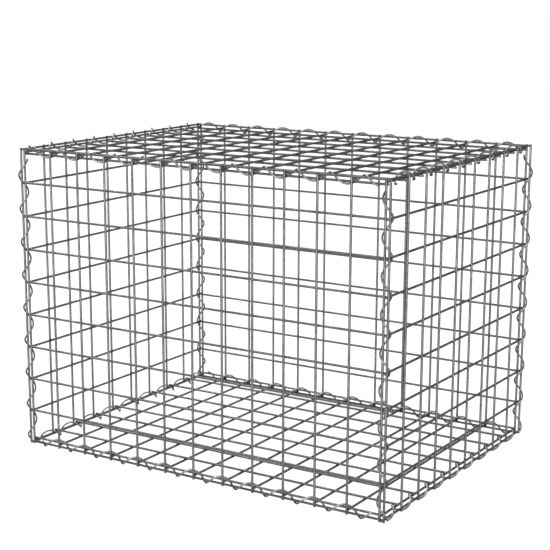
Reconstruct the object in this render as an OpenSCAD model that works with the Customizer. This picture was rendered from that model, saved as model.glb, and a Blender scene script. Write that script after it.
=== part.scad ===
// Gabion basket: six panels of welded wire mesh, laced into a closed box by twelve spirals.
// Millimetres. +Z is up, +X runs along the basket, the front faces -Y.
// The origin is on the ground, under the middle of the basket.

/* [Mesh] */
// Spacing of the mesh wires, centre to centre
cell = 75; // [60:5:100]
// Cells along the basket
cells_long = 12; // [6:1:16]
// Cells from front to back
cells_deep = 9; // [4:1:12]
// Cells from base to lid
cells_high = 9; // [4:1:12]
// Diameter of the mesh wire
wire_d = 5; // [3:0.5:6]
// Depth that crossing wires are pressed into each other at a weld
weld_sink = 0.6; // [0.2:0.1:1]

/* [Edges] */
// How far the outermost uprights of the long walls stand in from the even spacing
edge_inset = 1; // [0:0.5:4]
// Length that a wire runs on past the last wire it crosses
wire_stub = 3; // [2.5:0.5:6]
// Gap between the wires of two panels where they pass each other
panel_gap = 0.3; // [0.2:0.1:1]

/* [Spirals] */
// Diameter of the spiral wire
spiral_wire_d = 4; // [3:0.5:5]
// Play between a spiral and the edge wires inside it
spiral_play = 0.5; // [0.5:0.05:0.8]
// Gap between the tips of spirals that meet at a corner
tip_gap = 1; // [0.5:0.5:4]

/* [Hidden] */
// Sides of a mesh wire, sides of a spiral wire, and rings of points in one turn of a spiral
wire_sides = 8;
spiral_sides = 6;
turn_rings = 10;
steel = [0.74, 0.75, 0.77];
bright_steel = [0.82, 0.83, 0.85];

// Right-handed and left-handed coils
right_hand = 1;
left_hand = -1;

// Level of the base and of the lid
at_base = -1;
at_lid = 1;

// Where a coil passes over the wire it is led by, as a share of a cell from the first wire
long_lead_share = 0.88;
base_back_lead_share = 0.12;
short_lead_share = 0.88;
lid_right_lead_share = 0.62;
upright_lead_share = 0.12;

// Centre to centre of wires that are welded across each other
layer = wire_d - weld_sink;

// Centre to centre of two laced edge wires, with room for a welded wire's end between them
pair = layer + wire_d + panel_gap;

// Radii of the line that a spiral follows, and of its outside
spiral_r = pair / 2 + wire_d / 2 + spiral_play + spiral_wire_d / 2;
spiral_out_r = spiral_r + spiral_wire_d / 2;

half_long = cells_long * cell / 2;
half_deep = cells_deep * cell / 2;

// Long walls: uprights outside, rails inside
wall_y = half_deep;
rail_y = wall_y - layer;
corner_x = half_long - edge_inset;

// Short walls: uprights outside, rails inside, one pair away from the long walls' last uprights
side_x = corner_x + pair;
side_rail_x = side_x - layer;

// Base and lid: long wires inside, cross wires outside
// The last long wire passes inside the uprights, and is laced to a rail of a long wall
deck_edge_y = wall_y - wire_d - panel_gap;
long_run = rail_y - deck_edge_y;
long_rise = sqrt(pair * pair - long_run * long_run);

// The last cross wire is laced to a rail of a short wall
short_rise = long_rise - layer;
short_run = sqrt(pair * pair - short_rise * short_rise);
deck_edge_x = side_rail_x - short_run;

// Heights: the spirals under the short walls rest on the ground
low_rail_z = spiral_out_r - short_rise / 2;
upright_foot_z = low_rail_z - wire_stub;
upright_len = cells_high * cell + 2 * wire_stub;

// Places of the wires across each panel
inner_xs = [for (i = [1 : cells_long - 1]) i * cell - half_long];
inner_ys = [for (i = [1 : cells_deep - 1]) i * cell - half_deep];
upright_xs = concat([-corner_x], inner_xs, [corner_x]);
upright_ys = concat([-wall_y], inner_ys, [wall_y]);
cross_xs = concat([-deck_edge_x], inner_xs, [deck_edge_x]);
deck_ys = concat([-deck_edge_y], inner_ys, [deck_edge_y]);
rail_zs = [for (i = [0 : cells_high]) low_rail_z + i * cell];

// Lengths of the wires, cut so that the ends clear the next panel
long_wire_len = 2 * (side_rail_x - wire_d / 2 - panel_gap);
short_rail_len = 2 * (wall_y + wire_stub);
deck_cross_len = 2 * (wall_y - wire_d / 2 - panel_gap);

// Axes of the spirals, and how far each spiral runs: the upright ones begin level with the lowest rails
long_spiral_y = rail_y - long_run / 2;
short_spiral_x = side_rail_x - short_run / 2;
upright_spiral_x = side_x - pair / 2;
corner_clear = spiral_out_r + spiral_wire_d / 2 + tip_gap;
long_reach = deck_edge_x - wire_d / 2 - spiral_wire_d / 2 - tip_gap;
short_reach = long_spiral_y - corner_clear;
upright_start_z = rail_z(at_base);
upright_end_z = rail_z(at_lid) - long_rise / 2 - corner_clear;

// Height of the walls' last rails at the base or the lid
function rail_z(level) = level == at_base ? low_rail_z : low_rail_z + cells_high * cell;

// One straight mesh wire with flat sides, standing on its middle
module wire(length) {
    rotate([0, 0, 180 / wire_sides])
        cylinder(d = wire_d / cos(180 / wire_sides), h = length, center = true, $fn = wire_sides);
}

module wire_along_x(length) {
    rotate([0, 90, 0])
        wire(length);
}

module wire_along_y(length) {
    rotate([90, 0, 0])
        wire(length);
}

// Long wall, on the front (side -1) or the back (side 1)
module long_wall(side) {
    for (x = upright_xs)
        translate([x, side * wall_y, upright_foot_z + upright_len / 2])
            wire(upright_len);
    for (z = rail_zs)
        translate([0, side * rail_y, z])
            wire_along_x(long_wire_len);
}

// Short wall, on the left (side -1) or the right (side 1)
module short_wall(side) {
    for (y = upright_ys)
        translate([side * side_x, y, upright_foot_z + upright_len / 2])
            wire(upright_len);
    for (z = rail_zs)
        translate([side * side_rail_x, 0, z])
            wire_along_y(short_rail_len);
}

// Base or lid, as level says
module deck(level) {
    long_wire_z = rail_z(level) - level * long_rise;
    for (y = deck_ys)
        translate([0, y, long_wire_z])
            wire_along_x(long_wire_len);
    for (x = cross_xs)
        translate([x, 0, long_wire_z + level * layer])
            wire_along_y(deck_cross_len);
}

// One corner of one ring of points on a coil, in the coil's own frame: axis along z, lead wire at +x
function coil_point(turn_angle, height, hand, corner_angle) =
    let (
        climb = atan2(cell, 2 * PI * spiral_r),
        outward = [cos(turn_angle), sin(turn_angle), 0],
        sideways = [-sin(turn_angle), cos(turn_angle), 0],
        tilted = hand * cos(climb) * [0, 0, 1] - sin(climb) * sideways,
        corner_r = spiral_wire_d / 2 / cos(180 / spiral_sides)
    )
    spiral_r * outward + [0, 0, height]
        + corner_r * (cos(corner_angle) * outward + sin(corner_angle) * tilted);

// A coil of wire with one turn to a cell, from start to end along its axis
// centre is a point on the axis, towards leads to the edge wire that the coil is led by,
// and first_wire is where along the axis the row of cells begins
module coil(centre, along, towards, first_wire, lead_share, hand, start, end) {
    lead = first_wire + lead_share * cell;
    ring_rise = cell / turn_rings;
    first_ring = ceil((start - lead) / ring_rise);
    last_ring = floor((end - lead) / ring_rise);
    across = cross(along, towards);
    points = [
        for (ring = [first_ring : last_ring])
            for (corner = [0 : spiral_sides - 1])
                let (
                    turn_angle = hand * ring * 360 / turn_rings,
                    corner_angle = (corner + 0.5) * 360 / spiral_sides,
                    p = coil_point(turn_angle, lead + ring * ring_rise, hand, corner_angle)
                )
                centre + p[0] * towards + p[1] * across + p[2] * along
    ];
    last_point = len(points) - 1;
    sides = [
        for (here = [0 : spiral_sides : last_point - 2 * spiral_sides + 1])
            for (corner = [0 : spiral_sides - 1])
                let (
                    next = (corner + 1) % spiral_sides,
                    above = here + spiral_sides
                )
                each hand == right_hand
                    ? [[here + corner, here + next, above + corner], [here + next, above + next, above + corner]]
                    : [[here + corner, here + next, above + next], [here + corner, above + next, above + corner]]
    ];
    start_cap = [for (corner = [spiral_sides - 1 : -1 : 0]) corner];
    end_cap = [for (corner = [spiral_sides - 1 : -1 : 0]) last_point - corner];
    polyhedron(points = points, faces = concat(sides, [start_cap, end_cap]), convexity = turn_rings);
}

// Coil round a long edge of the base or the lid, at the front (side -1) or the back (side 1)
module long_coil(side, level, lead_share, hand) {
    centre = [0, side * long_spiral_y, rail_z(level) - level * long_rise / 2];
    towards = [0, -side * long_run, -level * long_rise] / pair;
    coil(centre, [1, 0, 0], towards, -half_long, lead_share, hand, -long_reach, long_reach);
}

// Coil round a short edge of the base or the lid, on the left (side -1) or the right (side 1)
module short_coil(side, level, lead_share, hand) {
    centre = [side * short_spiral_x, 0, rail_z(level) - level * short_rise / 2];
    towards = [-side * short_run, 0, -level * short_rise] / pair;
    coil(centre, [0, 1, 0], towards, -half_deep, lead_share, hand, -short_reach, short_reach);
}

// Coil round an upright edge, left or right (side) and front or back (end)
module upright_coil(side, end, hand) {
    coil([side * upright_spiral_x, end * wall_y, 0], [0, 0, 1], [side, 0, 0], low_rail_z,
        upright_lead_share, hand, upright_start_z, upright_end_z);
}

module front_panel() {
    color(steel)
        long_wall(-1);
}

module back_panel() {
    color(steel)
        long_wall(1);
}

module left_panel() {
    color(steel)
        short_wall(-1);
}

module right_panel() {
    color(steel)
        short_wall(1);
}

module base_panel() {
    color(steel)
        deck(at_base);
}

module lid_panel() {
    color(steel)
        deck(at_lid);
}

module front_left_spiral() {
    color(bright_steel)
        upright_coil(-1, -1, right_hand);
}

module front_right_spiral() {
    color(bright_steel)
        upright_coil(1, -1, left_hand);
}

module back_left_spiral() {
    color(bright_steel)
        upright_coil(-1, 1, left_hand);
}

module back_right_spiral() {
    color(bright_steel)
        upright_coil(1, 1, right_hand);
}

module base_front_spiral() {
    color(bright_steel)
        long_coil(-1, at_base, long_lead_share, left_hand);
}

module base_back_spiral() {
    color(bright_steel)
        long_coil(1, at_base, base_back_lead_share, left_hand);
}

module base_left_spiral() {
    color(bright_steel)
        short_coil(-1, at_base, short_lead_share, right_hand);
}

module base_right_spiral() {
    color(bright_steel)
        short_coil(1, at_base, short_lead_share, left_hand);
}

module lid_front_spiral() {
    color(bright_steel)
        long_coil(-1, at_lid, long_lead_share, right_hand);
}

module lid_back_spiral() {
    color(bright_steel)
        long_coil(1, at_lid, long_lead_share, left_hand);
}

module lid_left_spiral() {
    color(bright_steel)
        short_coil(-1, at_lid, short_lead_share, left_hand);
}

module lid_right_spiral() {
    color(bright_steel)
        short_coil(1, at_lid, lid_right_lead_share, right_hand);
}

front_panel();
back_panel();
left_panel();
right_panel();
base_panel();
lid_panel();
front_left_spiral();
front_right_spiral();
back_left_spiral();
back_right_spiral();
base_front_spiral();
base_back_spiral();
base_left_spiral();
base_right_spiral();
lid_front_spiral();
lid_back_spiral();
lid_left_spiral();
lid_right_spiral();
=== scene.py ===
"""Looks of a welded mesh gabion basket: zinc wires, weld beads, lacing spirals and a plain studio."""

import logging
import math
from dataclasses import dataclass, field
from enum import Enum, IntEnum

import bpy
import numpy as np
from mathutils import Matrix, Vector


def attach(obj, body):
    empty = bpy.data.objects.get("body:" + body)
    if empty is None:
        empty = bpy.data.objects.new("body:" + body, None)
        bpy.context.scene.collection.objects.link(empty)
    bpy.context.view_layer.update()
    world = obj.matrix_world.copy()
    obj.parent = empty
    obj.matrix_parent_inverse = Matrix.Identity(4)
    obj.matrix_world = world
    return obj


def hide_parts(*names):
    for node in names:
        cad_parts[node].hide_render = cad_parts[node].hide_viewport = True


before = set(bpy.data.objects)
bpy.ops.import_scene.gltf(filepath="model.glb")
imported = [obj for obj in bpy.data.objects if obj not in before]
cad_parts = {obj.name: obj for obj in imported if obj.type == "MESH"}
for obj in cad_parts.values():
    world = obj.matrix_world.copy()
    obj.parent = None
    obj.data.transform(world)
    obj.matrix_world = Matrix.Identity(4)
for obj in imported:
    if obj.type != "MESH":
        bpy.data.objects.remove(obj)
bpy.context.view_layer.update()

LOG = logging.getLogger("gabion_basket")
BODY = "root"
DULL_ATTRIBUTE = "dull"
SEED = 20


class Side(IntEnum):
    """The low or the high end of the basket along one axis."""

    LOW = -1
    HIGH = 1


class Hand(IntEnum):
    """Which way a spiral winds along its axis."""

    LEFT = -1
    RIGHT = 1


class Slot(Enum):
    """Material slots of the record."""

    MESH = "mesh_wire"
    SPIRAL = "spiral_wire"


@dataclass(frozen=True)
class BasketSizes:
    """Driving sizes of the basket in metres, as in the solids, and what follows from them."""

    cell: float = 0.075
    cells_long: int = 12
    cells_deep: int = 9
    cells_high: int = 9
    wire_d: float = 0.005
    weld_sink: float = 0.0006
    edge_inset: float = 0.001
    wire_stub: float = 0.003
    panel_gap: float = 0.0003
    spiral_wire_d: float = 0.004
    spiral_play: float = 0.0005
    tip_gap: float = 0.001

    @property
    def wire_r(self) -> float:
        """Radius of a mesh wire."""
        return self.wire_d / 2

    @property
    def spiral_wire_r(self) -> float:
        """Radius of the spirals' wire."""
        return self.spiral_wire_d / 2

    @property
    def layer(self) -> float:
        """Centre to centre of wires that are welded across each other."""
        return self.wire_d - self.weld_sink

    @property
    def pair(self) -> float:
        """Centre to centre of the two edge wires inside a spiral."""
        return self.layer + self.wire_d + self.panel_gap

    @property
    def spiral_r(self) -> float:
        """Radius of the line that a spiral follows."""
        return self.pair / 2 + self.wire_r + self.spiral_play + self.spiral_wire_r

    @property
    def spiral_out_r(self) -> float:
        """Outer radius of a spiral."""
        return self.spiral_r + self.spiral_wire_r

    @property
    def half_long(self) -> float:
        """Half of the even spacing along the basket."""
        return self.cells_long * self.cell / 2

    @property
    def half_deep(self) -> float:
        """Half of the even spacing from front to back."""
        return self.cells_deep * self.cell / 2

    @property
    def rail_y(self) -> float:
        """Place of a long wall's rails."""
        return self.half_deep - self.layer

    @property
    def corner_x(self) -> float:
        """Place of a long wall's last uprights."""
        return self.half_long - self.edge_inset

    @property
    def side_x(self) -> float:
        """Place of a short wall's uprights."""
        return self.corner_x + self.pair

    @property
    def side_rail_x(self) -> float:
        """Place of a short wall's rails."""
        return self.side_x - self.layer

    @property
    def deck_edge_y(self) -> float:
        """Place of the last long wires of the base and the lid."""
        return self.half_deep - self.wire_d - self.panel_gap

    @property
    def long_run(self) -> float:
        """Step in from a long wall's rail to the edge wire laced to it."""
        return self.rail_y - self.deck_edge_y

    @property
    def long_rise(self) -> float:
        """Step in height from a long wall's last rail to the edge wire laced to it."""
        return math.sqrt(self.pair ** 2 - self.long_run ** 2)

    @property
    def short_rise(self) -> float:
        """Step in height from a short wall's last rail to the edge wire laced to it."""
        return self.long_rise - self.layer

    @property
    def short_run(self) -> float:
        """Step in from a short wall's rail to the edge wire laced to it."""
        return math.sqrt(self.pair ** 2 - self.short_rise ** 2)

    @property
    def deck_edge_x(self) -> float:
        """Place of the last cross wires of the base and the lid."""
        return self.side_rail_x - self.short_run

    @property
    def low_rail_z(self) -> float:
        """Height of the walls' lowest rails."""
        return self.spiral_out_r - self.short_rise / 2

    @property
    def long_wire_end(self) -> float:
        """How far the long wires reach from the middle."""
        return self.side_rail_x - self.wire_r - self.panel_gap

    @property
    def cross_wire_end(self) -> float:
        """How far the cross wires of the base and the lid reach from the middle."""
        return self.half_deep - self.wire_r - self.panel_gap

    @property
    def corner_clear(self) -> float:
        """Room that a spiral leaves at a corner for the spiral that passes there."""
        return self.spiral_out_r + self.spiral_wire_r + self.tip_gap

    def rail_z(self, level: Side) -> float:
        """Height of the walls' last rails at the base or the lid."""
        return self.low_rail_z + (self.cells_high * self.cell if level is Side.HIGH else 0)

    def inner_xs(self) -> list[float]:
        """Even places along the basket, without the two ends."""
        return [i * self.cell - self.half_long for i in range(1, self.cells_long)]

    def inner_ys(self) -> list[float]:
        """Even places from front to back, without the two ends."""
        return [i * self.cell - self.half_deep for i in range(1, self.cells_deep)]

    def rail_zs(self) -> list[float]:
        """Heights of the walls' rails."""
        return [self.low_rail_z + i * self.cell for i in range(self.cells_high + 1)]


SIZES = BasketSizes()


@dataclass
class WireMesh:
    """A mesh of many wires and beads, gathered as arrays and made into one object."""

    points: list[np.ndarray] = field(default_factory=list)
    quads: list[np.ndarray] = field(default_factory=list)
    caps: list[tuple[int, ...]] = field(default_factory=list)
    dulled: list[np.ndarray] = field(default_factory=list)
    count: int = 0

    def add_rings(self, rings: np.ndarray, dull: np.ndarray) -> None:
        """Join rings of points into a closed tube with flat ends.

        Args:
            rings: Points of each ring, as rings by sides by 3.
            dull: How dull the zinc is at each ring, from 0 to 1.
        """
        ring_count, sides, _ = rings.shape
        start = self.count
        here = start + np.arange((ring_count - 1) * sides)
        turned = here + np.where((here - start) % sides == sides - 1, 1 - sides, 1)
        self.quads.append(np.stack([here, turned, turned + sides, here + sides], axis=1))
        self.points.append(rings.reshape(-1, 3))
        self.dulled.append(np.repeat(dull, sides))
        self.count += ring_count * sides
        self.caps.append(tuple(range(start + sides - 1, start - 1, -1)))
        self.caps.append(tuple(range(self.count - sides, self.count)))

    def to_object(self, name: str) -> bpy.types.Object:
        """Make the object.

        Args:
            name: Name of the new object.

        Returns:
            The object, linked to the scene, smooth along the wires and flat on their ends.
        """
        points = np.concatenate(self.points)
        faces = np.concatenate(self.quads).tolist() + self.caps
        mesh = bpy.data.meshes.new(name)
        mesh.from_pydata(points.tolist(), [], faces)
        smooth = np.zeros(len(faces), dtype=bool)
        smooth[: len(faces) - len(self.caps)] = True
        mesh.polygons.foreach_set("use_smooth", smooth)
        dull = mesh.attributes.new(DULL_ATTRIBUTE, "FLOAT", "POINT")
        dull.data.foreach_set("value", np.concatenate(self.dulled).astype(np.float32))
        mesh.update()
        piece = bpy.data.objects.new(name, mesh)
        bpy.context.scene.collection.objects.link(piece)
        return piece


@dataclass(frozen=True)
class WireDrawing:
    """How finely straight wires, their cut ends and the weld beads are modelled."""

    sides: int = 12
    end_bevel: float = 0.0004
    end_shrink_share: float = 0.8
    step: float = 0.0125
    least_rings: int = 2
    bead_across: float = 0.0034
    bead_thick: float = 0.0013
    bead_rings: int = 6
    bead_sides: int = 10
    bead_spread_share: float = 0.12
    heat_reach: float = 0.006

    def straight(
        self, mesh: WireMesh, start: Vector, end: Vector, radius: float, welds: list[float]
    ) -> None:
        """Add a straight round wire with cut ends.

        Args:
            mesh: Where the wire goes.
            start: Middle of one end.
            end: Middle of the other end.
            radius: Radius of the wire.
            welds: Places of the welds along the wire, measured from the start.
        """
        along = np.array(end - start)
        length = float(np.linalg.norm(along))
        along /= length
        across = np.roll(along, 1)
        up = np.cross(along, across)
        ring_count = max(self.least_rings, round(length / self.step))
        inner = np.linspace(self.end_bevel, length - self.end_bevel, ring_count)
        places = np.concatenate([[0.0], inner, [length]])
        radii = np.full(len(places), radius)
        radii[[0, -1]] *= self.end_shrink_share
        turn = np.linspace(0, math.tau, self.sides, endpoint=False)
        rim = np.cos(turn)[:, None] * across + np.sin(turn)[:, None] * up
        rings = np.array(start) + places[:, None, None] * along + radii[:, None, None] * rim
        gap = np.min(np.abs(places[:, None] - np.array(welds)), axis=1)
        mesh.add_rings(rings, np.exp(-((gap / self.heat_reach) ** 2)))

    def bead(self, mesh: WireMesh, centre: Vector, normal: Vector, rng: np.random.Generator) -> None:
        """Add the bead of metal that is pressed out at a weld.

        Args:
            mesh: Where the bead goes.
            centre: Middle of the weld.
            normal: Direction from one wire to the other.
            rng: Source of the small differences between beads.
        """
        axis = np.array(normal)
        across = np.roll(axis, 1)
        up = np.cross(axis, across)
        wide, deep, thick = 1 + self.bead_spread_share * rng.uniform(-1, 1, 3)
        lift = np.linspace(-math.pi / 2, math.pi / 2, self.bead_rings + 2)[1:-1]
        turn = np.linspace(0, math.tau, self.bead_sides, endpoint=False)
        rim = wide * np.cos(turn)[:, None] * across + deep * np.sin(turn)[:, None] * up
        flat = self.bead_across * np.cos(lift)[:, None, None] * rim
        rings = np.array(centre) + flat + (self.bead_thick * thick * np.sin(lift))[:, None, None] * axis
        mesh.add_rings(rings, np.ones(len(lift)))


@dataclass(frozen=True)
class GalvanisedFinish:
    """Zinc on drawn steel wire: faint spangle, cloudy tone, fine grain and a dull patch at each weld."""

    name: str
    light: tuple[float, float, float]
    dark: tuple[float, float, float]
    weld_tone: tuple[float, float, float] = (0.08, 0.08, 0.08)
    metallic: float = 1.0
    edge_tint: tuple[float, float, float] = (0.01, 0.01, 0.01)
    smooth_roughness: float = 0.42
    rough_roughness: float = 0.6
    cloud_scale: float = 28.0
    spangle_scale: float = 260.0
    grain_scale: float = 1400.0
    spangle_share: float = 0.35
    dark_place: float = 0.3
    light_place: float = 0.7
    weld_share: float = 0.15
    grain_depth: float = 0.00012
    detail: float = 4.0

    def tone(self, tree: bpy.types.NodeTree, place: bpy.types.NodeSocket) -> bpy.types.NodeSocket:
        """Mix the clouds of the zinc with its spangle.

        Args:
            tree: Node tree of the finish.
            place: Point on the wire, in the object's own metres.

        Returns:
            The tone, which rises from dark and rough to light and smooth.
        """
        cloud = tree.nodes.new("ShaderNodeTexNoise")
        cloud.inputs["Scale"].default_value = self.cloud_scale
        cloud.inputs["Detail"].default_value = self.detail
        tree.links.new(place, cloud.inputs["Vector"])
        spangle = tree.nodes.new("ShaderNodeTexVoronoi")
        spangle.inputs["Scale"].default_value = self.spangle_scale
        tree.links.new(place, spangle.inputs["Vector"])
        tone = tree.nodes.new("ShaderNodeMix")
        tone.data_type = "FLOAT"
        tone.inputs["Factor"].default_value = self.spangle_share
        tree.links.new(cloud.outputs["Fac"], tone.inputs["A"])
        tree.links.new(spangle.outputs["Color"], tone.inputs["B"])
        return tone.outputs["Result"]

    def colour(self, tree: bpy.types.NodeTree, tone: bpy.types.NodeSocket) -> bpy.types.NodeSocket:
        """Colour the zinc by its tone, and dull it at the welds.

        Args:
            tree: Node tree of the finish.
            tone: The tone of the zinc.

        Returns:
            The colour.
        """
        zinc = tree.nodes.new("ShaderNodeValToRGB")
        low, high = zinc.color_ramp.elements
        low.position = self.dark_place
        low.color = (*self.dark, 1)
        high.position = self.light_place
        high.color = (*self.light, 1)
        tree.links.new(tone, zinc.inputs["Fac"])
        dull = tree.nodes.new("ShaderNodeAttribute")
        dull.attribute_name = DULL_ATTRIBUTE
        amount = tree.nodes.new("ShaderNodeMath")
        amount.operation = "MULTIPLY"
        amount.inputs[1].default_value = self.weld_share
        tree.links.new(dull.outputs["Fac"], amount.inputs[0])
        colour = tree.nodes.new("ShaderNodeMix")
        colour.data_type = "RGBA"
        colour.inputs["B"].default_value = (*self.weld_tone, 1)
        tree.links.new(amount.outputs["Value"], colour.inputs["Factor"])
        tree.links.new(zinc.outputs["Color"], colour.inputs["A"])
        return colour.outputs["Result"]

    def roughness(self, tree: bpy.types.NodeTree, tone: bpy.types.NodeSocket) -> bpy.types.NodeSocket:
        """Make the light zinc smoother than the dark.

        Args:
            tree: Node tree of the finish.
            tone: The tone of the zinc.

        Returns:
            The roughness.
        """
        rough = tree.nodes.new("ShaderNodeMapRange")
        rough.inputs["To Min"].default_value = self.rough_roughness
        rough.inputs["To Max"].default_value = self.smooth_roughness
        tree.links.new(tone, rough.inputs["Value"])
        return rough.outputs["Result"]

    def relief(self, tree: bpy.types.NodeTree, place: bpy.types.NodeSocket) -> bpy.types.NodeSocket:
        """Give the zinc a fine grain.

        Args:
            tree: Node tree of the finish.
            place: Point on the wire, in the object's own metres.

        Returns:
            The normal of the grained surface.
        """
        grain = tree.nodes.new("ShaderNodeTexNoise")
        grain.inputs["Scale"].default_value = self.grain_scale
        tree.links.new(place, grain.inputs["Vector"])
        bump = tree.nodes.new("ShaderNodeBump")
        bump.inputs["Distance"].default_value = self.grain_depth
        tree.links.new(grain.outputs["Fac"], bump.inputs["Height"])
        return bump.outputs["Normal"]

    def material(self) -> bpy.types.Material:
        """Build the finish.

        Returns:
            A node material that follows the object's own metres.
        """
        material = bpy.data.materials.new(self.name)
        material.use_nodes = True
        tree = material.node_tree
        shader = tree.nodes["Principled BSDF"]
        shader.inputs["Metallic"].default_value = self.metallic
        shader.inputs["Specular Tint"].default_value = (*self.edge_tint, 1)
        place = tree.nodes.new("ShaderNodeTexCoord").outputs["Object"]
        tone = self.tone(tree, place)
        tree.links.new(self.colour(tree, tone), shader.inputs["Base Color"])
        tree.links.new(self.roughness(tree, tone), shader.inputs["Roughness"])
        tree.links.new(self.relief(tree, place), shader.inputs["Normal"])
        return material


MESH_ZINC = GalvanisedFinish(name="mesh_zinc", light=(0.17, 0.17, 0.17), dark=(0.09, 0.09, 0.09))
SPIRAL_ZINC = GalvanisedFinish(name="spiral_zinc", light=(0.24, 0.24, 0.24), dark=(0.14, 0.14, 0.14))


def hand_over(piece: bpy.types.Object, node: str) -> None:
    """Let a piece stand for a solid of the frame.

    Args:
        piece: The dressed piece.
        node: The solid that it replaces.
    """
    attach(piece, BODY)
    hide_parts(node)


@dataclass
class MeshPanel:
    """A flat panel of wires in two layers, welded where they cross."""

    node: str
    normal: Vector
    first_wires: list[tuple[Vector, Vector]]
    second_wires: list[tuple[Vector, Vector]]
    drawing: WireDrawing = WireDrawing()

    @staticmethod
    def crossing(first: tuple[Vector, Vector], second: tuple[Vector, Vector], normal: Vector) -> Vector:
        """Middle of the weld between two crossing wires.

        Args:
            first: Ends of a wire of the first layer.
            second: Ends of a wire of the second layer.
            normal: Direction square to the panel.

        Returns:
            The point half way between the two wires where they pass each other.
        """
        run = (second[1] - second[0]).normalized()
        foot = second[0] + run * (first[0] - second[0]).dot(run)
        reach = (first[1] - first[0]).normalized()
        point = first[0] + reach * (foot - first[0]).dot(reach)
        return point + normal * (foot - point).dot(normal) / 2

    def build(self, rng: np.random.Generator) -> bpy.types.Object:
        """Make the panel's wires and weld beads.

        Args:
            rng: Source of the small differences between beads.

        Returns:
            The panel as one piece.
        """
        mesh = WireMesh()
        welds = [
            [self.crossing(first, second, self.normal) for second in self.second_wires]
            for first in self.first_wires
        ]
        for first, row in zip(self.first_wires, welds):
            self.draw(mesh, first, row)
        for second, column in zip(self.second_wires, zip(*welds)):
            self.draw(mesh, second, list(column))
        for row in welds:
            for weld in row:
                self.drawing.bead(mesh, weld, self.normal, rng)
        return mesh.to_object(self.node + "_wires")

    def draw(self, mesh: WireMesh, ends: tuple[Vector, Vector], welds: list[Vector]) -> None:
        """Add one wire of the panel.

        Args:
            mesh: Where the wire goes.
            ends: Both ends of the wire.
            welds: Middles of the welds along it.
        """
        along = (ends[1] - ends[0]).normalized()
        self.drawing.straight(mesh, *ends, SIZES.wire_r, [(weld - ends[0]).dot(along) for weld in welds])

    def dress(self, piece: bpy.types.Object, zinc: bpy.types.Material) -> None:
        """Give the panel its finish and its place in the frame."""
        piece.data.materials.append(zinc)
        hand_over(piece, self.node)


@dataclass
class Spiral:
    """A coil of wire that laces the edge wires of two panels, with one turn to a cell."""

    node: str
    centre: Vector
    along: Vector
    towards: Vector
    first_wire: float
    lead_share: float
    hand: Hand
    start: float
    end: float
    turn_rings: int = 40
    solid_turn_rings: int = 10
    sides: int = 12
    end_bevel: float = 0.0003
    end_shrink_share: float = 0.8

    def build(self) -> bpy.types.Object:
        """Make the coil on the line that its solid follows.

        Returns:
            The coil as one piece.
        """
        lead = self.first_wire + self.lead_share * SIZES.cell
        step = SIZES.cell / self.solid_turn_rings
        first = lead + math.ceil((self.start - lead) / step) * step
        last = lead + math.floor((self.end - lead) / step) * step
        rise = np.linspace(first, last, round((last - first) / SIZES.cell * self.turn_rings) + 1)
        rise = np.insert(rise, [1, len(rise) - 1], [first + self.end_bevel, last - self.end_bevel])
        radii = np.full(len(rise), SIZES.spiral_wire_r)
        radii[[0, -1]] *= self.end_shrink_share
        angle = self.hand * math.tau * (rise - lead) / SIZES.cell
        climb = math.atan2(SIZES.cell, math.tau * SIZES.spiral_r)
        across = np.array(self.along.cross(self.towards))
        towards, along = np.array(self.towards), np.array(self.along)
        outward = np.cos(angle)[:, None] * towards + np.sin(angle)[:, None] * across
        sideways = -np.sin(angle)[:, None] * towards + np.cos(angle)[:, None] * across
        tilted = self.hand * math.cos(climb) * along - math.sin(climb) * sideways
        centres = np.array(self.centre) + rise[:, None] * along + SIZES.spiral_r * outward
        turn = np.linspace(0, math.tau, self.sides, endpoint=False)[None, :, None]
        rim = np.cos(turn) * outward[:, None] + np.sin(turn) * tilted[:, None]
        mesh = WireMesh()
        mesh.add_rings(centres[:, None] + radii[:, None, None] * rim, np.zeros(len(rise)))
        return mesh.to_object(self.node + "_coil")

    def dress(self, piece: bpy.types.Object, zinc: bpy.types.Material) -> None:
        """Give the coil its finish and its place in the frame."""
        piece.data.materials.append(zinc)
        hand_over(piece, self.node)


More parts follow.
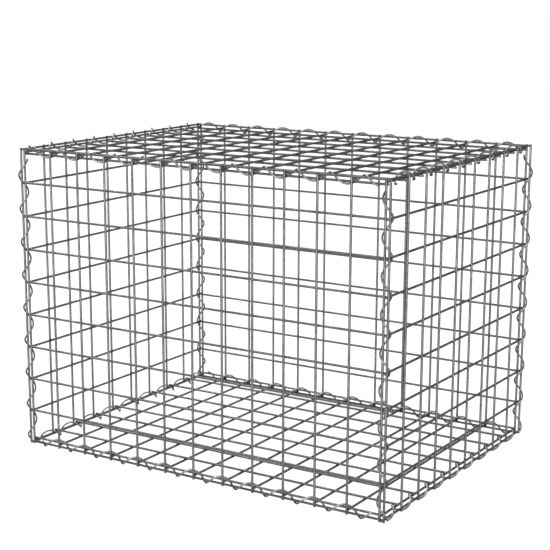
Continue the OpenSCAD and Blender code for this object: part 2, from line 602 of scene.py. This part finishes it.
@dataclass
class Basket:
    """The whole basket: six panels and twelve spirals."""

    long_lead_share: float = 0.88
    base_back_lead_share: float = 0.12
    short_lead_share: float = 0.88
    lid_right_lead_share: float = 0.62
    upright_lead_share: float = 0.12

    def long_wall(self, node: str, side: Side) -> MeshPanel:
        """Lay out the front or the back, with its uprights outside.

        Args:
            node: The solid that the panel stands for.
            side: Front or back.

        Returns:
            The panel.
        """
        foot, head = SIZES.low_rail_z - SIZES.wire_stub, SIZES.rail_z(Side.HIGH) + SIZES.wire_stub
        xs = [-SIZES.corner_x, *SIZES.inner_xs(), SIZES.corner_x]
        wall_y, rail_y, reach = side * SIZES.half_deep, side * SIZES.rail_y, SIZES.long_wire_end
        uprights = [(Vector((x, wall_y, foot)), Vector((x, wall_y, head))) for x in xs]
        rails = [(Vector((-reach, rail_y, z)), Vector((reach, rail_y, z))) for z in SIZES.rail_zs()]
        return MeshPanel(node, Vector((0, 1, 0)), uprights, rails)

    def short_wall(self, node: str, side: Side) -> MeshPanel:
        """Lay out the left or the right end, with its uprights outside.

        Args:
            node: The solid that the panel stands for.
            side: Left or right.

        Returns:
            The panel.
        """
        foot, head = SIZES.low_rail_z - SIZES.wire_stub, SIZES.rail_z(Side.HIGH) + SIZES.wire_stub
        ys = [-SIZES.half_deep, *SIZES.inner_ys(), SIZES.half_deep]
        wall_x, rail_x = side * SIZES.side_x, side * SIZES.side_rail_x
        reach = SIZES.half_deep + SIZES.wire_stub
        uprights = [(Vector((wall_x, y, foot)), Vector((wall_x, y, head))) for y in ys]
        rails = [(Vector((rail_x, -reach, z)), Vector((rail_x, reach, z))) for z in SIZES.rail_zs()]
        return MeshPanel(node, Vector((1, 0, 0)), uprights, rails)

    def deck(self, node: str, level: Side) -> MeshPanel:
        """Lay out the base or the lid, with its cross wires outside.

        Args:
            node: The solid that the panel stands for.
            level: Base or lid.

        Returns:
            The panel.
        """
        long_z = SIZES.rail_z(level) - level * SIZES.long_rise
        cross_z = long_z + level * SIZES.layer
        ys = [-SIZES.deck_edge_y, *SIZES.inner_ys(), SIZES.deck_edge_y]
        xs = [-SIZES.deck_edge_x, *SIZES.inner_xs(), SIZES.deck_edge_x]
        reach, depth = SIZES.long_wire_end, SIZES.cross_wire_end
        long_wires = [(Vector((-reach, y, long_z)), Vector((reach, y, long_z))) for y in ys]
        cross_wires = [(Vector((x, -depth, cross_z)), Vector((x, depth, cross_z))) for x in xs]
        return MeshPanel(node, Vector((0, 0, 1)), long_wires, cross_wires)

    def panels(self) -> list[MeshPanel]:
        """List the six panels.

        Returns:
            Walls first, then the base and the lid.
        """
        return [
            self.long_wall("front_panel", Side.LOW),
            self.long_wall("back_panel", Side.HIGH),
            self.short_wall("left_panel", Side.LOW),
            self.short_wall("right_panel", Side.HIGH),
            self.deck("base_panel", Side.LOW),
            self.deck("lid_panel", Side.HIGH),
        ]

    def long_spiral(self, node: str, side: Side, level: Side, lead_share: float, hand: Hand) -> Spiral:
        """Lay out a spiral round a long edge of the base or the lid.

        Args:
            node: The solid that the spiral stands for.
            side: Front or back.
            level: Base or lid.
            lead_share: Where in a cell a turn begins, as a share of the cell.
            hand: Which way it winds.

        Returns:
            The spiral.
        """
        y = side * (SIZES.rail_y - SIZES.long_run / 2)
        z = SIZES.rail_z(level) - level * SIZES.long_rise / 2
        towards = Vector((0, -side * SIZES.long_run, -level * SIZES.long_rise)) / SIZES.pair
        reach = SIZES.deck_edge_x - SIZES.wire_r - SIZES.spiral_wire_r - SIZES.tip_gap
        return Spiral(
            node=node,
            centre=Vector((0, y, z)),
            along=Vector((1, 0, 0)),
            towards=towards,
            first_wire=-SIZES.half_long,
            lead_share=lead_share,
            hand=hand,
            start=-reach,
            end=reach,
        )

    def short_spiral(self, node: str, side: Side, level: Side, lead_share: float, hand: Hand) -> Spiral:
        """Lay out a spiral round a short edge of the base or the lid.

        Args:
            node: The solid that the spiral stands for.
            side: Left or right.
            level: Base or lid.
            lead_share: Where in a cell a turn begins, as a share of the cell.
            hand: Which way it winds.

        Returns:
            The spiral.
        """
        x = side * (SIZES.side_rail_x - SIZES.short_run / 2)
        z = SIZES.rail_z(level) - level * SIZES.short_rise / 2
        towards = Vector((-side * SIZES.short_run, 0, -level * SIZES.short_rise)) / SIZES.pair
        reach = SIZES.rail_y - SIZES.long_run / 2 - SIZES.corner_clear
        return Spiral(
            node=node,
            centre=Vector((x, 0, z)),
            along=Vector((0, 1, 0)),
            towards=towards,
            first_wire=-SIZES.half_deep,
            lead_share=lead_share,
            hand=hand,
            start=-reach,
            end=reach,
        )

    def upright_spiral(self, node: str, side: Side, end: Side, hand: Hand) -> Spiral:
        """Lay out a spiral round an upright edge.

        Args:
            node: The solid that the spiral stands for.
            side: Left or right.
            end: Front or back.
            hand: Which way it winds.

        Returns:
            The spiral.
        """
        centre = Vector((side * (SIZES.side_x - SIZES.pair / 2), end * SIZES.half_deep, 0))
        return Spiral(
            node=node,
            centre=centre,
            along=Vector((0, 0, 1)),
            towards=Vector((side, 0, 0)),
            first_wire=SIZES.low_rail_z,
            lead_share=self.upright_lead_share,
            hand=hand,
            start=SIZES.low_rail_z,
            end=SIZES.rail_z(Side.HIGH) - SIZES.long_rise / 2 - SIZES.corner_clear,
        )

    def spirals(self) -> list[Spiral]:
        """List the twelve spirals.

        Returns:
            Upright ones first, then those of the base and of the lid.
        """
        low, high, left, right = Side.LOW, Side.HIGH, Hand.LEFT, Hand.RIGHT
        long_share, back_share = self.long_lead_share, self.base_back_lead_share
        short_share, lid_right_share = self.short_lead_share, self.lid_right_lead_share
        return [
            self.upright_spiral("front_left_spiral", low, low, right),
            self.upright_spiral("front_right_spiral", high, low, left),
            self.upright_spiral("back_left_spiral", low, high, left),
            self.upright_spiral("back_right_spiral", high, high, right),
            self.long_spiral("base_front_spiral", low, low, long_share, left),
            self.long_spiral("base_back_spiral", high, low, back_share, left),
            self.short_spiral("base_left_spiral", low, low, short_share, right),
            self.short_spiral("base_right_spiral", high, low, short_share, left),
            self.long_spiral("lid_front_spiral", low, high, long_share, right),
            self.long_spiral("lid_back_spiral", high, high, long_share, left),
            self.short_spiral("lid_left_spiral", low, high, short_share, left),
            self.short_spiral("lid_right_spiral", high, high, lid_right_share, right),
        ]

    def build(self) -> list[bpy.types.Object]:
        """Make and dress every piece of the basket.

        Returns:
            The pieces, panels first.
        """
        rng = np.random.default_rng(SEED)
        mesh_zinc, spiral_zinc = MESH_ZINC.material(), SPIRAL_ZINC.material()
        pieces = []
        for panel in self.panels():
            pieces.append(panel.build(rng))
            panel.dress(pieces[-1], mesh_zinc)
        for spiral in self.spirals():
            pieces.append(spiral.build())
            spiral.dress(pieces[-1], spiral_zinc)
        return pieces


@dataclass(frozen=True)
class SoftLight:
    """A wide, even light from far away."""

    name: str
    towards: tuple[float, float, float]
    strength: float
    spread_deg: float

    def build(self) -> None:
        """Hang the light so that it shines from the side that it stands on."""
        light = bpy.data.lights.new(self.name, "SUN")
        light.energy = self.strength
        light.angle = math.radians(self.spread_deg)
        lamp = bpy.data.objects.new(self.name, light)
        lamp.rotation_euler = Vector(self.towards).to_track_quat("Z", "Y").to_euler()
        bpy.context.scene.collection.objects.link(lamp)


@dataclass(frozen=True)
class Studio:
    """White floor and sky, soft lamps, and the camera of the picture."""

    floor_half: float = 8.0
    floor_colour: tuple[float, float, float] = (0.1, 0.1, 0.1)
    seen_floor_colour: tuple[float, float, float] = (0.9, 0.9, 0.9)
    floor_glow: float = 1.18
    shadow_share: float = 0.2
    sky_colour: tuple[float, float, float] = (1.0, 1.0, 1.0)
    sky_strength: float = 0.02
    seen_sky_strength: float = 1.0
    lights: tuple[SoftLight, ...] = (
        SoftLight("front_light", towards=(0.4, -0.91, 0.08), strength=4.0, spread_deg=20.0),
        SoftLight("left_light", towards=(-0.75, 0.2, 0.63), strength=4.6, spread_deg=10.0),
        SoftLight("right_light", towards=(0.95, 0.25, 0.2), strength=0.35, spread_deg=20.0),
        SoftLight("back_light", towards=(0.1, 0.95, 0.3), strength=0.7, spread_deg=20.0),
    )
    camera_place: tuple[float, float, float] = (1.6713, -2.6681, 1.0426)
    heading_deg: float = 33.03
    dip_deg: float = 12.80
    lens: float = 92.53
    sensor: float = 36.0
    shift: tuple[float, float] = (0.0370, 0.0520)

    @staticmethod
    def seen_directly(tree: bpy.types.NodeTree) -> bpy.types.NodeSocket:
        """Factor that is 1 for rays from the camera, from a gloss or through glass.

        Args:
            tree: Node tree of the material or the world.

        Returns:
            The socket with the factor.
        """
        path = tree.nodes.new("ShaderNodeLightPath")
        either = tree.nodes.new("ShaderNodeMath")
        either.operation = "MAXIMUM"
        tree.links.new(path.outputs["Is Camera Ray"], either.inputs[0])
        tree.links.new(path.outputs["Is Glossy Ray"], either.inputs[1])
        any_of = tree.nodes.new("ShaderNodeMath")
        any_of.operation = "MAXIMUM"
        tree.links.new(either.outputs["Value"], any_of.inputs[0])
        tree.links.new(path.outputs["Is Transmission Ray"], any_of.inputs[1])
        return any_of.outputs["Value"]

    def build_sky(self) -> None:
        """White sky that lights the basket gently."""
        world = bpy.data.worlds.new("white_sky")
        world.use_nodes = True
        tree = world.node_tree
        background = tree.nodes["Background"]
        background.inputs["Color"].default_value = (*self.sky_colour, 1)
        strength = tree.nodes.new("ShaderNodeMix")
        strength.data_type = "FLOAT"
        strength.inputs["A"].default_value = self.sky_strength
        strength.inputs["B"].default_value = self.seen_sky_strength
        tree.links.new(self.seen_directly(tree), strength.inputs["Factor"])
        tree.links.new(strength.outputs["Result"], background.inputs["Strength"])
        bpy.context.scene.world = world

    def floor_material(self) -> bpy.types.Material:
        """Build the floor's finish.

        Returns:
            A matt material that glows white where it is seen and keeps a share of the shadow.
        """
        material = bpy.data.materials.new("white_floor")
        material.use_nodes = True
        tree = material.node_tree
        tree.nodes.remove(tree.nodes["Principled BSDF"])
        seen = self.seen_directly(tree)
        colour = tree.nodes.new("ShaderNodeMix")
        colour.data_type = "RGBA"
        colour.inputs["A"].default_value = (*self.floor_colour, 1)
        colour.inputs["B"].default_value = (*self.seen_floor_colour, 1)
        tree.links.new(seen, colour.inputs["Factor"])
        matt = tree.nodes.new("ShaderNodeBsdfDiffuse")
        tree.links.new(colour.outputs["Result"], matt.inputs["Color"])
        glow = tree.nodes.new("ShaderNodeEmission")
        glow.inputs["Strength"].default_value = self.floor_glow
        share = tree.nodes.new("ShaderNodeMath")
        share.operation = "MULTIPLY"
        share.inputs[1].default_value = 1 - self.shadow_share
        tree.links.new(seen, share.inputs[0])
        mix = tree.nodes.new("ShaderNodeMixShader")
        tree.links.new(share.outputs["Value"], mix.inputs["Fac"])
        tree.links.new(matt.outputs["BSDF"], mix.inputs[1])
        tree.links.new(glow.outputs["Emission"], mix.inputs[2])
        tree.links.new(mix.outputs["Shader"], tree.nodes["Material Output"].inputs["Surface"])
        return material

    def build_floor(self) -> None:
        """Lay a pale floor that keeps a faint shadow of the basket."""
        half = self.floor_half
        mesh = bpy.data.meshes.new("floor")
        corners = [(-half, -half, 0), (half, -half, 0), (half, half, 0), (-half, half, 0)]
        mesh.from_pydata(corners, [], [(0, 1, 2, 3)])
        mesh.materials.append(self.floor_material())
        floor = bpy.data.objects.new("floor", mesh)
        bpy.context.scene.collection.objects.link(floor)

    def build_camera(self) -> None:
        """Camera at the picture's angle."""
        data = bpy.data.cameras.new("camera")
        data.sensor_width = self.sensor
        data.lens = self.lens
        data.shift_x, data.shift_y = self.shift
        camera = bpy.data.objects.new("camera", data)
        camera.location = self.camera_place
        tilt = math.pi / 2 - math.radians(self.dip_deg)
        camera.rotation_euler = (tilt, 0, math.radians(self.heading_deg))
        bpy.context.scene.collection.objects.link(camera)
        bpy.context.scene.camera = camera

    def build(self) -> None:
        """Set up the floor, the light and the camera."""
        self.build_sky()
        self.build_floor()
        for light in self.lights:
            light.build()
        self.build_camera()
        bpy.context.scene.view_settings.view_transform = "Standard"


def main() -> None:
    """Build the studio and the basket, and report each piece."""
    logging.basicConfig(level=logging.INFO, format="%(name)s %(message)s")
    Studio().build()
    for piece in Basket().build():
        LOG.info("%s: %d points", piece.name, len(piece.data.vertices))


if __name__ == "__main__":
    main()
